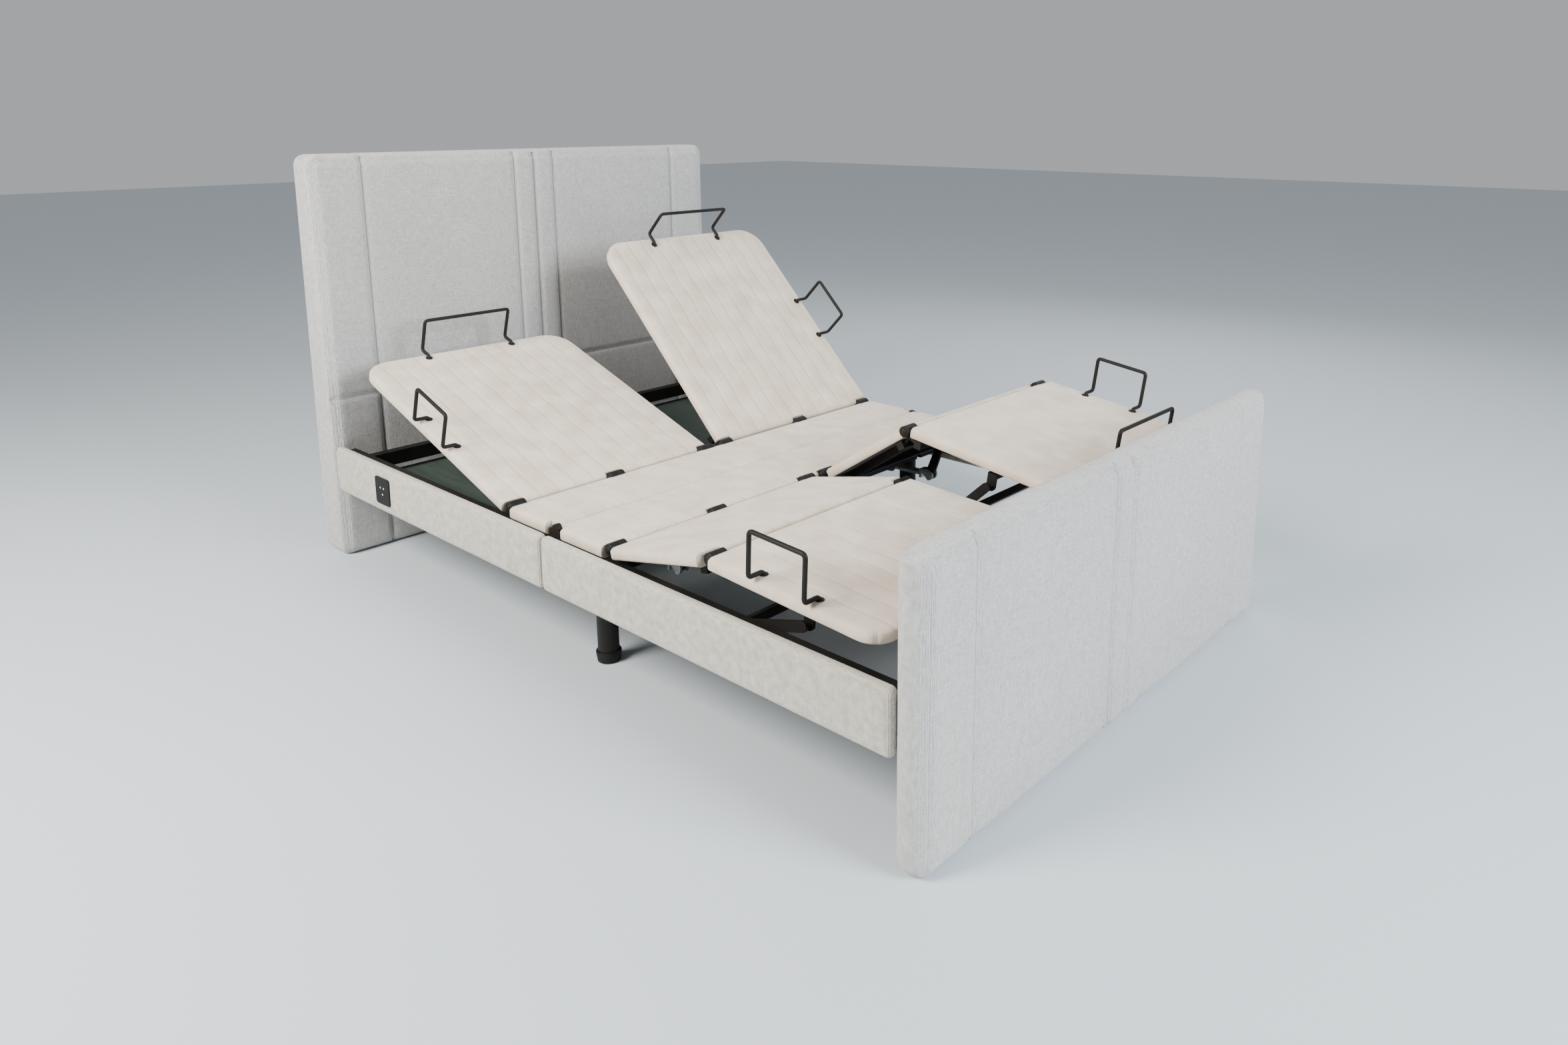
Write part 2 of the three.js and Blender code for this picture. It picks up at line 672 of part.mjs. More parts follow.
function legSection(side, thigh) {
  const { name, sign } = side;
  const leg = hingeGroup(thigh, thighLength, kneeDrop, degrees(side.thighAngle * legPerThigh));
  const top = kneeBelowTop;
  const low = subTop - kneeHeight;
  const panel = deckPanel(sign, 1, kneeEndGap, legLength, footCornerRadius, top);
  const notches = kneePlates.map((y) => notchBoxes(0, 1, sign * (y - notchHalfWidth),
    sign * (y === kneeOuterY ? panelOuter + 10 : y + notchHalfWidth)));
  add(leg, `leg_panel_${name}`, cut(panel, ...notches), deckCloth);
  const start = notchDepth;
  const feet = [[start + 16, low - subTube + 3], [start - 2, low - 1]];
  const plates = kneePlates.map((y) => hingePlate(sign, y, [0, 0], feet));
  const under = low - subTube;
  const x0 = legPin[0] - 12;
  const x1 = legPin[0] + 12;
  const lug = linkOutline(legPin, 12, [x1, under + 2], [x0, under + 2]);
  const lugs = [outerLugY, innerLugY].map((y) => plateXZ(lug, sign * y, sign * (y + armWidth)));
  const outerTube = panelOuter - subInset - 1;
  const innerTube = panelInner + subInnerInset + 1;
  const brackets = [
    box(x0, x1, sign * (outerLugY + armWidth), sign * outerTube, under, under + 12),
    box(x0, x1, sign * innerLugY, sign * innerTube, under, under + 12),
  ];
  const rails = subFrame(sign, start, legLength - subEndInset, low);
  const steel = join(...rails, ...plates, ...lugs, ...brackets);
  add(leg, `leg_frame_${name}`, steel, blackSteel);
  add(leg, `leg_side_wire_${name}`, sideWire(sign, legWireAt, top), blackSteel);
  add(leg, `leg_foot_wire_${name}`, endWire(sign, legLength, 1, top), blackSteel);
}

function supportArm(side) {
  const { name, sign } = side;
  const angle = degrees(side.thighAngle) * armPerThigh;
  const arm = hingeGroup(bed, legPivotX, legPivotHeight, -angle);
  const armShape = () => {
    const shape = new THREE.Shape();
    shape.absarc(0, 0, 12, Math.PI / 2, Math.PI * 1.5, false);
    shape.absarc(armLength, 0, 11, -Math.PI / 2, Math.PI / 2, false);
    return shape;
  };
  const planes = [outerArmY, innerArmY];
  const pieces = planes.map((y) => plateXZ(armShape(), sign * y, sign * (y + armWidth)));
  const brace = box(28, 48, sign * (innerArmY + 2), sign * (outerArmY + 2), -9, 9);
  const holes = planes.map((y) => pinAlongY(0, 0, pinRadius + pinClearance, sign * (y - 2),
    sign * (y + armWidth + 2)));
  add(arm, `leg_support_arm_${name}`, cut(join(...pieces, brace), ...holes), blackSteel);
}

// ---- Actuators ----

// A linear actuator between a fixed anchor and the tip of a crank, both given as [x, z]
function actuator(name, sign, y, anchor, tip) {
  const run = [tip[0] - anchor[0], tip[1] - anchor[1]];
  const length = Math.hypot(...run);
  const group = hingeGroup(bed, anchor[0], anchor[1], -Math.atan2(run[1], run[0]));
  const middle = sign * y;
  const rearEye = cut(plateXZ(linkOutline([0, 0], 14, [24, -10], [24, 10]), middle - 7, middle + 7),
    pinAlongY(0, 0, pinRadius + pinClearance, middle - 9, middle + 9));
  const gearbox = box(22, 84, middle - sign * 24, middle + sign * (motorOffset + 23), -24, 24);
  const tube = rodAlongX(80, driveHousing, middle, 0, outerTubeRadius);
  const motorY = middle + sign * motorOffset;
  const motor = rodAlongX(80, 190, motorY, 0, 21);
  const bore = rodAlongX(86, driveHousing + 2, middle, 0, rodRadius + 0.6);
  add(group, `${name}_housing`, cut(join(gearbox, rearEye, tube, motor), bore), blackPlastic);
  const rod = rodAlongX(length - forkLength - rodLength, length - forkLength + 2, middle, 0, rodRadius);
  const crown = box(length - forkLength - 1, length - forkLength + 7, middle - 13, middle + 13,
    -forkHalfHeight + 4, forkHalfHeight - 4);
  const cheek = new THREE.Shape();
  cheek.moveTo(length - forkLength, -forkHalfHeight + 4);
  cheek.absarc(length, 0, forkHalfHeight, -Math.PI / 2, Math.PI / 2, false);
  cheek.lineTo(length - forkLength, forkHalfHeight - 4);
  const cheeks = [middle - 13, middle + 6].map((low) => plateXZ(cheek, low, low + 7));
  add(group, `${name}_rod`, join(rod, crown, ...cheeks), greySteel);
}

function actuators() {
  for (const side of sides) {
    const back = degrees(side.backAngle) - degrees(backFullAngle / 2);
    const backTip = [backHingeX - crankRadius * Math.sin(back), pivotHeight - crankRadius * Math.cos(back)];
    actuator(`back_actuator_${side.name}`, side.sign, backDriveY, [thighBarX, anchorHeight], backTip);
    const knee = degrees(side.thighAngle) - degrees(thighFullAngle / 2);
    const kneeTip = [thighHingeX + crankRadius * Math.sin(knee), pivotHeight - crankRadius * Math.cos(knee)];
    actuator(`knee_actuator_${side.name}`, side.sign, kneeDriveY, [backBarX, anchorHeight], kneeTip);
  }
}

headboard();
footboard();
sideRails();
frameTubes();
hingeBar("back_hinge_bar", backBarX, backHingeX, kneeDriveY, backDriveY);
hingeBar("thigh_hinge_bar", thighBarX, thighHingeX, backDriveY, kneeDriveY);
splitJoints();
legs();
bottomBoard();
socket();
electrics();
seatPanels();
for (const side of sides) {
  backSection(side);
  thighSection(side);
  supportArm(side);
}
actuators();

export default bed;
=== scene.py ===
# %% [markdown]
# # An adjustable bed base
# The bed is an upholstered surround (headboard, footboard, four side rails) around a black split
# steel frame. On each side a back section and a leg section lift on hinges. The hard parts come
# ready made from the engineering model, which is loaded as a fixed frame. This lesson adds what that
# model leaves plain: padded fabric, seams, smooth wire, bolt heads, and every finish.

# %% Load the frame
import json
import math

import bpy
import numpy as np
from mathutils import Matrix, Vector


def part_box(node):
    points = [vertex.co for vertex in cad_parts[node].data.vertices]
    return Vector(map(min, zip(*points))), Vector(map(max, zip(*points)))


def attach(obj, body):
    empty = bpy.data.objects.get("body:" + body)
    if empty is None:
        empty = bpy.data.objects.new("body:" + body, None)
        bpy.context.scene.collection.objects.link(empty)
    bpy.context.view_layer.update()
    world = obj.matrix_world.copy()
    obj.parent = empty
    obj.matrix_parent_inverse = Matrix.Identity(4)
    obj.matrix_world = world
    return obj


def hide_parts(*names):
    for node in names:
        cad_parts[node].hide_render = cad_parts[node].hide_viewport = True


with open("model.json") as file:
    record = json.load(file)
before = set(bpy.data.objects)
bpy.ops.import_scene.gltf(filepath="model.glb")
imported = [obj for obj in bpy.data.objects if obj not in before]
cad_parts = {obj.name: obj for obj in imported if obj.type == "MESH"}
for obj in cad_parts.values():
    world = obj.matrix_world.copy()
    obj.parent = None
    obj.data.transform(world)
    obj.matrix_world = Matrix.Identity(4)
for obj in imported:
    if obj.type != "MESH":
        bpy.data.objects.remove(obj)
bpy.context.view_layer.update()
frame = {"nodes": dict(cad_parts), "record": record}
nodes = frame["nodes"]
record = frame["record"]
joints = {joint["name"]: joint for joint in record["behaviour"]["joints"]}

# %% [markdown]
# ## The camera
# A moderately wide lens stands at the left of the foot end, a little above the headboard's top. The
# place is measured from the middle of the headboard's face on the floor. A small lens shift keeps the
# upright lines of the bed nearly upright, which reads better on furniture than a camera that simply
# tilts down.

# %% Camera
lens_mm, shift_across, shift_up = 25.13, -0.050, -0.1185
ahead_of_face, beside_middle, above_floor = 3.094, -1.968, 1.261
heading, pitch = -0.716, 0.200
head_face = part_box("headboard")[1][0]
camera_data = bpy.data.cameras.new("bed_camera")
camera_data.sensor_width = 36
camera_data.lens = lens_mm
camera_data.shift_x = shift_across
camera_data.shift_y = shift_up
camera = bpy.data.objects.new("bed_camera", camera_data)
bpy.context.collection.objects.link(camera)
look = Vector((math.cos(pitch) * math.sin(heading), math.cos(pitch) * math.cos(heading), -math.sin(pitch)))
camera.location = (head_face + ahead_of_face, beside_middle, above_floor)
camera.rotation_euler = look.to_track_quat("-Z", "Y").to_euler()
bpy.context.scene.camera = camera
print("camera at", tuple(round(v, 3) for v in camera.location))

# %% [markdown]
# ## Floor and light
# The floor is a plain pale sheet. A large soft lamp over the camera's side gives the fabric its gentle
# shading, a weaker one fills the far side, and the pale world keeps the shadows open.

# %% Floor and light
bpy.ops.mesh.primitive_plane_add(size=40, location=(0, 0, 0))
floor = bpy.context.object
floor.name = "floor"
floor_finish = bpy.data.materials.new("pale_floor")
floor_finish.use_nodes = True
floor_shader = floor_finish.node_tree.nodes["Principled BSDF"]
floor_shader.inputs["Base Color"].default_value = (0.60, 0.665, 0.70, 1)
floor_shader.inputs["Roughness"].default_value = 0.7
floor.data.materials.append(floor_finish)

world = bpy.data.worlds.new("studio")
world.use_nodes = True
world.node_tree.nodes["Background"].inputs["Color"].default_value = (0.93, 0.96, 1.0, 1)
world.node_tree.nodes["Background"].inputs["Strength"].default_value = 0.46
bpy.context.scene.world = world


def soft_lamp(name, place, target, size, watts, tint=(1, 1, 1)):
    data = bpy.data.lights.new(name, "AREA")
    data.shape = "SQUARE"
    data.size = size
    data.energy = watts
    data.color = tint
    lamp = bpy.data.objects.new(name, data)
    bpy.context.collection.objects.link(lamp)
    lamp.location = place
    lamp.rotation_euler = (Vector(target) - Vector(place)).to_track_quat("-Z", "Y").to_euler()


soft_lamp("key_lamp", (-0.5, -3.3, 2.7), (-0.2, 0, 0.4), 1.7, 285, (1.0, 0.955, 0.91))
soft_lamp("foot_lamp", (4.8, 0.2, 2.3), (0.4, 0, 0.5), 1.9, 330, (0.90, 0.955, 1.0))
soft_lamp("far_lamp", (-0.6, 3.6, 2.8), (0, 0, 0.5), 2.2, 45)
print("floor and three lamps")

# %% [markdown]
# ## Node helpers for the finishes
# All finishes are procedural, so they need no pictures and no UV map. They read the object's own
# coordinates in metres, so a thread or a speckle has its true size on every piece.

# %% Node helpers
class Finish:
    """A material with short calls for the nodes that this bed needs."""

    def __init__(self, name, roughness=0.5, metallic=0.0, sheen=0.0, specular=0.5):
        self.material = bpy.data.materials.new(name)
        self.material.use_nodes = True
        self.tree = self.material.node_tree
        self.shader = self.tree.nodes["Principled BSDF"]
        self.shader.inputs["Roughness"].default_value = roughness
        self.shader.inputs["Metallic"].default_value = metallic
        self.shader.inputs["Sheen Weight"].default_value = sheen
        self.shader.inputs["Specular IOR Level"].default_value = specular
        coordinates = self.tree.nodes.new("ShaderNodeTexCoord")
        self.place = coordinates.outputs["Object"]
        self.normal = coordinates.outputs["Normal"]

    def node(self, kind, **inputs):
        made = self.tree.nodes.new(kind)
        for name, value in inputs.items():
            by_number = name[0] == "i" and name[1:].isdigit()
            socket = made.inputs[int(name[1:]) if by_number else name]
            if hasattr(value, "is_output"):
                self.tree.links.new(value, socket)
            else:
                socket.default_value = value
        return made

    def scaled(self, scale):
        return self.node("ShaderNodeMapping", Vector=self.place, Scale=scale).outputs[0]

    def noise(self, scale, detail=3.0, stretch=(1, 1, 1)):
        place = self.scaled(stretch)
        return self.node("ShaderNodeTexNoise", Vector=place, Scale=scale, Detail=detail).outputs[0]

    def math(self, operation, a, b=0.0):
        made = self.node("ShaderNodeMath", i0=a, i1=b)
        made.operation = operation
        return made.outputs[0]

    def ramp(self, factor, low, high, start=0.3, end=0.7):
        made = self.node("ShaderNodeValToRGB", Fac=factor)
        made.color_ramp.elements[0].position = start
        made.color_ramp.elements[1].position = end
        made.color_ramp.elements[0].color = (*low, 1)
        made.color_ramp.elements[1].color = (*high, 1)
        return made.outputs[0]

    def mix(self, factor, a, b, blend="MIX"):
        made = self.tree.nodes.new("ShaderNodeMix")
        made.data_type = "RGBA"
        made.blend_type = blend
        for socket, value in ((made.inputs[0], factor), (made.inputs[6], a), (made.inputs[7], b)):
            if hasattr(value, "is_output"):
                self.tree.links.new(value, socket)
            elif isinstance(value, tuple):
                socket.default_value = (*value, 1)
            else:
                socket.default_value = value
        return made.outputs[2]

    def colour(self, value):
        self.tree.links.new(value, self.shader.inputs["Base Color"])

    def rough(self, factor, low, high):
        made = self.node("ShaderNodeMapRange", Value=factor)
        made.inputs["To Min"].default_value = low
        made.inputs["To Max"].default_value = high
        self.tree.links.new(made.outputs[0], self.shader.inputs["Roughness"])

    def bump(self, height, depth, strength=0.6):
        made = self.node("ShaderNodeBump", Height=height, Distance=depth, Strength=strength)
        self.tree.links.new(made.outputs[0], self.shader.inputs["Normal"])


# %% [markdown]
# ## Linen and deck cloth
# The surround wears a heavy linen: a plain weave whose threads vary in thickness, which makes short
# flecks along both thread directions. One sine wave along each axis gives a weave on every face of a
# box, because a face always cuts two of the three waves. On the boards the seam lines are darkened
# with painted shade. The deck cloth is paler and smoother, with faint wavy quilting lines along the
# bed whose channels are darkened with painted shade.

# %% Fabric finishes
quilt_pitch = 0.052
sway_rate, sway_reach = 42.0, 0.002
# The last of these numbers is the half width of the band of painted shade along each seam line.
stitch_from_seam, stitch_half, seam_shade_half = 0.0062, 0.0009, 0.0016


def weave(finish, pitch):
    waves = []
    for axis in range(3):
        split = finish.node("ShaderNodeSeparateXYZ", Vector=finish.place)
        turned = finish.math("MULTIPLY", split.outputs[axis], 2 * math.pi / pitch)
        waves.append(finish.math("SINE", turned))
    total = finish.math("ADD", finish.math("ADD", waves[0], waves[1]), waves[2])
    return finish.math("MULTIPLY", total, 0.33)


def linen(name, dark, light, shade, seams=()):
    finish = Finish(name, roughness=0.93, sheen=0.25, specular=0.25)
    fleck_across = finish.noise(60, 3, (1, 9, 1))
    fleck_up = finish.noise(60, 3, (9, 1, 9))
    flecks = finish.math("MULTIPLY", finish.math("ADD", fleck_across, fleck_up), 0.5)
    base = finish.ramp(flecks, dark, light, 0.36, 0.64)
    cloud = finish.ramp(finish.noise(2.2, 2), shade, (1, 1, 1), 0.25, 0.7)
    cloth = finish.mix(1.0, base, cloud, "MULTIPLY")
    height = finish.math("ADD", weave(finish, 0.0032), finish.math("MULTIPLY", flecks, 2.2))
    if seams:
        stitches, seam_shade_mask = stitch_rows(finish, seams)
        cloth = finish.mix(finish.math("MULTIPLY", stitches, 0.5), cloth, light)
        # Painted shade: the seam line on the front faces is darkened towards a dark copy of the fabric
        # colour, standing in for the shade in the crease.
        cloth = finish.mix(finish.math("MULTIPLY", seam_shade_mask, 0.6), cloth, tuple(v * 0.45 for v in dark))
        height = finish.math("ADD", height, finish.math("MULTIPLY", stitches, 1.6))
    finish.colour(cloth)
    finish.bump(height, 0.0011, 0.7)
    return finish.material


def stitch_rows(finish, seams, pitch=0.0065):
    """Two rows of short stitches beside every upright seam, as a mask from 0 to 1, and a mask of painted
    shade along the seam lines on the front faces.
    """
    split = finish.node("ShaderNodeSeparateXYZ", Vector=finish.place)
    across = finish.math("ABSOLUTE", split.outputs[1])
    gaps = [finish.math("ABSOLUTE", finish.math("SUBTRACT", across, seam)) for seam in seams]
    nearest = gaps[0]
    for gap in gaps[1:]:
        nearest = finish.math("MINIMUM", nearest, gap)
    off_row = finish.math("ABSOLUTE", finish.math("SUBTRACT", nearest, stitch_from_seam))
    row = finish.math("LESS_THAN", off_row, stitch_half)
    beat = finish.math("SINE", finish.math("MULTIPLY", split.outputs[2], 2 * math.pi / pitch))
    dash = finish.math("GREATER_THAN", beat, -0.35)
    facing = finish.node("ShaderNodeSeparateXYZ", Vector=finish.normal).outputs[0]
    front = finish.math("GREATER_THAN", facing, 0.3)
    # Painted shade mask: a narrow band along each seam line, on the front faces only.
    seam_shade_mask = finish.math("MULTIPLY", finish.math("LESS_THAN", nearest, seam_shade_half), front)
    return finish.math("MULTIPLY", finish.math("MULTIPLY", row, dash), front), seam_shade_mask


def quilted_cloth(name, dark, light):
    finish = Finish(name, roughness=0.9, sheen=0.3, specular=0.25)
    split = finish.node("ShaderNodeSeparateXYZ", Vector=finish.place)
    turned = finish.math("SINE", finish.math("MULTIPLY", split.outputs[0], sway_rate))
    sway = finish.math("MULTIPLY", turned, sway_reach)
    across = finish.math("ADD", split.outputs[1], sway)
    line = finish.math("SINE", finish.math("MULTIPLY", across, 2 * math.pi / quilt_pitch))
    thin = finish.math("POWER", finish.math("MULTIPLY", finish.math("ADD", line, 1.0), 0.5), 14.0)
    mottled = finish.ramp(finish.noise(14, 4), dark, light, 0.3, 0.7)
    # Painted shade: the cloth colour is darkened along each quilting channel, standing in for the shade in
    # the groove.
    quilt_channel_shaded = finish.mix(finish.math("MULTIPLY", thin, 0.17), mottled, tuple(v * 0.72 for v in dark))
    finish.colour(quilt_channel_shaded)
    fuzz = finish.noise(420, 2)
    height = finish.math("SUBTRACT", finish.math("MULTIPLY", fuzz, 0.35), thin)
    threads = finish.math("MULTIPLY", weave(finish, 0.0024), 0.2)
    finish.bump(finish.math("ADD", height, threads), 0.0022, 0.55)
    return finish.material


rail_linen = linen("rail_linen", (0.42, 0.395, 0.325), (0.69, 0.65, 0.555), (0.92, 0.92, 0.91))
board_linen = linen("board_linen", (0.42, 0.41, 0.395), (0.64, 0.63, 0.61), (0.90, 0.90, 0.91),
                    (0.0, 0.07, 0.55))
deck_cloth = quilted_cloth("deck_cloth", (0.64, 0.535, 0.41), (0.80, 0.70, 0.57))
dust_cloth = linen("dust_cloth", (0.020, 0.020, 0.021), (0.036, 0.036, 0.038), (0.85, 0.85, 0.85))
print("four fabric finishes")

# %% [markdown]
# ## Hard finishes
# The steelwork is powder coated: black, slightly rough, with a fine orange-peel surface. The coating
# is a touch lighter and duller where hands and cartons rub it, so a soft noise varies both.

# %% Hard finishes
def powder_coat(name, dark, light):
    finish = Finish(name, roughness=0.5, specular=0.22)
    wear = finish.noise(7, 4)
    finish.colour(finish.ramp(wear, dark, light, 0.3, 0.75))
    finish.rough(wear, 0.44, 0.62)
    finish.bump(finish.noise(650, 2), 0.0004, 0.35)
    return finish.material


def moulded_plastic(name, dark, light, roughness):
    finish = Finish(name, roughness=roughness, specular=0.25)
    speck = finish.noise(90, 4)
    finish.colour(finish.ramp(speck, dark, light, 0.35, 0.7))
    finish.rough(speck, roughness - 0.08, roughness + 0.1)
    finish.bump(finish.noise(900, 2), 0.0003, 0.4)
    return finish.material


def drawn_steel(name):
    finish = Finish(name, roughness=0.28, metallic=1.0)
    streak = finish.noise(40, 3, (0.3, 12, 12))
    finish.colour(finish.ramp(streak, (0.22, 0.225, 0.23), (0.36, 0.365, 0.37), 0.3, 0.7))
    finish.rough(streak, 0.2, 0.4)
    finish.bump(streak, 0.0002, 0.3)
    return finish.material


# A dark green board under the head half of the frame. Its green is the floor's colour seen there and its
# darkness is painted shade, the shade under the frame; the streaky noise varies its tone.
def shaded_floor_board(name):
    finish = Finish(name, roughness=0.7)
    grain = finish.noise(18, 5, (0.35, 5, 1))
    finish.colour(finish.ramp(grain, (0.018, 0.033, 0.025), (0.04, 0.062, 0.048), 0.3, 0.7))
    finish.rough(grain, 0.6, 0.85)
    finish.bump(grain, 0.0006, 0.4)
    return finish.material


black_coat = powder_coat("black_powder_coat", (0.006, 0.006, 0.005), (0.017, 0.015, 0.013))
wire_coat = powder_coat("wire_powder_coat", (0.006, 0.006, 0.005), (0.014, 0.013, 0.012))
black_plastic = moulded_plastic("black_plastic", (0.004, 0.004, 0.004), (0.010, 0.010, 0.010), 0.6)
grey_plastic = moulded_plastic("grey_plastic", (0.016, 0.017, 0.017), (0.030, 0.031, 0.031), 0.5)
pale_plastic = moulded_plastic("pale_plastic", (0.70, 0.70, 0.67), (0.82, 0.82, 0.8), 0.35)
cable_rubber = moulded_plastic("cable_rubber", (0.013, 0.013, 0.014), (0.03, 0.03, 0.03), 0.6)
rod_steel = drawn_steel("rod_steel")
shaded_floor_green = shaded_floor_board("shaded_floor_green")
print("hard finishes made")

# %% [markdown]
# ## Padded boards
# A padded board is a block whose edges are rolled round by the foam. The helper lays a fine grid over
# a box and then moves each grid point: first onto rounded edges, then into seams and gentle crowns.
# Working with point positions keeps every seam exactly where it is wanted, and the mesh stays closed.

# %% Padded board helper
def grid_box(low, high, step):
    """Points and faces of a closed box whose six sides are grids."""
    low, high = np.array(low, float), np.array(high, float)
    counts = np.maximum(np.round((high - low) / step).astype(int), 2)
    lines = [np.linspace(low[i], high[i], counts[i] + 1) for i in range(3)]
    index, points, faces = {}, [], []

    def point(key):
        if key not in index:
            index[key] = len(points)
            points.append([lines[i][key[i]] for i in range(3)])
        return index[key]

    for axis in range(3):
        u, v = (axis + 1) % 3, (axis + 2) % 3
        for side in (0, counts[axis]):
            for a in range(counts[u]):
                for b in range(counts[v]):
                    ring = []
                    for da, db in ((0, 0), (1, 0), (1, 1), (0, 1)):
                        key = [0, 0, 0]
                        key[axis], key[u], key[v] = side, a + da, b + db
                        ring.append(point(tuple(key)))
                    faces.append(ring if side else ring[::-1])
    return np.array(points), faces


def roll_edges(points, low, high, radius):
    """Moves the points of a box onto rounded edges, with the same radius on every edge."""
    low, high = np.array(low, float), np.array(high, float)
    inner = np.clip(points, low + radius, high - radius)
    away = points - inner
    length = np.linalg.norm(away, axis=1)
    reach = np.max(np.abs(away), axis=1)
    scale = np.divide(reach, length, out=np.ones_like(length), where=length > 1e-9)
    return inner + away * scale[:, None]


def round_plan_corner(points, corner, towards, radius):
    """Turns one square corner of a board, seen from above, into a round one."""
    centre = np.array(corner) - np.array(towards) * radius
    d = (points[:, :2] - centre) * np.array(towards)
    inside = (d[:, 0] > 0) & (d[:, 1] > 0)
    scale = np.ones(len(points))
    length = np.hypot(d[:, 0], d[:, 1])
    scale[inside] = np.max(d[inside], axis=1) / np.maximum(length[inside], 1e-9)
    moved = centre + d * scale[:, None] * np.array(towards)
    result = points.copy()
    result[inside, :2] = moved[inside]
    return result


def mesh_piece(name, points, faces, finish, body, matrix=Matrix.Identity(4), smooth=True):
    mesh = bpy.data.meshes.new(name)
    mesh.from_pydata([tuple(p) for p in points], [], faces)
    mesh.update()
    piece = bpy.data.objects.new(name, mesh)
    bpy.context.collection.objects.link(piece)
    mesh.materials.append(finish)
    for polygon in mesh.polygons:
        polygon.use_smooth = smooth
    piece.matrix_world = matrix
    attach(piece, body)
    return piece


def seam_dip(distance, depth, width):
    """How far a sewn seam pulls the cloth in, at a distance from its line."""
    return depth * np.exp(-(distance / width) ** 2)


print("padded board helper ready")

# %% [markdown]
# ## Headboard and footboard
# Both boards are covered in sewn panels. Upright seams stand near the two outer edges and as three
# close lines in the middle, and the headboard has one level seam below the mattress line. Each seam
# is a narrow valley in the foam, and the cloth between seams stays slightly crowned. A welt runs round
# the edge of each face, where the front panel is sewn to the side strip.

# %% Headboard and footboard
seam_places = (-0.55, -0.07, 0.0, 0.07, 0.55)
level_seam = 0.47
seam_depth, seam_width = 0.0060, 0.0048
welt_inset, crown_height = 0.018, 0.003
grid_step = 0.0075


def upholstered_board(node, radius, face_sign, level=None):
    """The box of a board, its plain grid points, the same points with seams, and its faces."""
    low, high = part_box(node)
    low, high = np.array(low), np.array(high)
    points, faces = grid_box(low, high, grid_step)
    lines = np.array(seam_places)
    for place in lines:
        columns = np.abs(points[:, 1] - place) < grid_step * 0.5
        points[columns, 1] = place
    base = points.copy()
    points = roll_edges(points, low, high, radius)
    front = (base[:, 0] == (high[0] if face_sign > 0 else low[0]))
    over_top = base[:, 2] == high[2]
    y, z = base[:, 1], base[:, 2]
    dip = np.zeros(len(points))
    for place in lines:
        dip += seam_dip(y - place, seam_depth, seam_width)
    if level is not None:
        dip = np.maximum(dip, seam_dip(z - level, seam_depth, seam_width))
    edge_gap = np.minimum(np.minimum(y - low[1], high[1] - y), high[2] - z)
    dip += seam_dip(edge_gap - welt_inset, seam_depth * 0.8, seam_width)
    bounds_y = np.sort(np.concatenate([lines, [low[1], high[1]]]))
    cell = np.clip(np.searchsorted(bounds_y, y) - 1, 0, len(bounds_y) - 2)
    share = (y - bounds_y[cell]) / (bounds_y[cell + 1] - bounds_y[cell])
    crown = crown_height * (1 - (2 * share - 1) ** 4)
    pull = np.where(front, dip - crown + crown_height, 0.0)
    points[:, 0] -= face_sign * pull
    top_dip = sum(seam_dip(y - place, seam_depth * 0.6, seam_width) for place in lines)
    points[:, 2] -= np.where(over_top & ~front, top_dip, 0)
    return low, high, base, points, faces


def cover_board(node, points, faces):
    piece = mesh_piece(f"{node}_cover", points, faces, board_linen, "base")
    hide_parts(node)
    return piece


def finish_headboard():
    low, high, base, points, faces = upholstered_board("headboard", 0.030, 1, level_seam)
    vertices = np.array([v.co for v in nodes["headboard"].data.vertices])
    top_back = vertices[vertices[:, 2] > 0.9 * high[2], 0].min()
    lean = np.clip(base[:, 2] / high[2], 0, 1) * (top_back - low[0])
    back_share = (high[0] - points[:, 0]) / (high[0] - low[0])
    points[:, 0] += lean * back_share
    points[:, 2] = np.maximum(points[:, 2], 0)
    return cover_board("headboard", points, faces)


def finish_footboard():
    points, faces = upholstered_board("footboard", 0.032, 1)[3:]
    return cover_board("footboard", points, faces)


headboard_cover = finish_headboard()
footboard_cover = finish_footboard()
print("boards:", len(headboard_cover.data.vertices), "and", len(footboard_cover.data.vertices), "points")

# %% [markdown]
# ## Side rails
# Each rail is a board with a thin foam layer, wrapped in the same linen. The cloth turns round the
# ends, so where the two rails of a side meet there is a soft valley. A slow ripple of under a
# millimetre keeps the long face from looking machined.

# %% Side rails
rail_edge = 0.0125


def side_rail_cover(node):
    low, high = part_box(node)
    points, faces = grid_box(low, high, grid_step)
    base = points.copy()
    points = roll_edges(points, low, high, rail_edge)
    outer = -1 if low[1] < 0 else 1
    on_face = base[:, 1] == (low[1] if outer < 0 else high[1])
    x, z = base[:, 0], base[:, 2]
    share = (z - low[2]) / (high[2] - low[2])
    sag = 0.0012 * (1 - (2 * share - 1) ** 2)
    ripple = 0.0006 * np.sin(x * 21.0) * np.sin(z * 47.0 + x * 5.0)
    points[:, 1] += np.where(on_face, -outer * (0.0013 - sag + ripple), 0.0)
    piece = mesh_piece(f"{node}_cover", points, faces, rail_linen, "base")
    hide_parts(node)
    return piece


rail_covers = [side_rail_cover(node) for node in sorted(nodes) if node.startswith("side_rail_")]
print(len(rail_covers), "side rails")

# %% [markdown]
# ## Deck sections
# A deck section is a thin board with foam and quilted cloth. The engineering model stores it at its
# lifted angle, so the cover is made flat, in the section's own plane, and then turned with the same
# hinge. `section_place` works that turn out from the joints: a section's rest angle is how far its
# joint can still go back to flat. Notches for the hinge plates are cut after the edges are rolled.

# %% Deck sections
def rest_angle(joint):
    return -math.radians(joints[joint]["range_deg"][0])


ratios = {c["joint"]: c["ratio"] for c in record["behaviour"]["couplings"]}


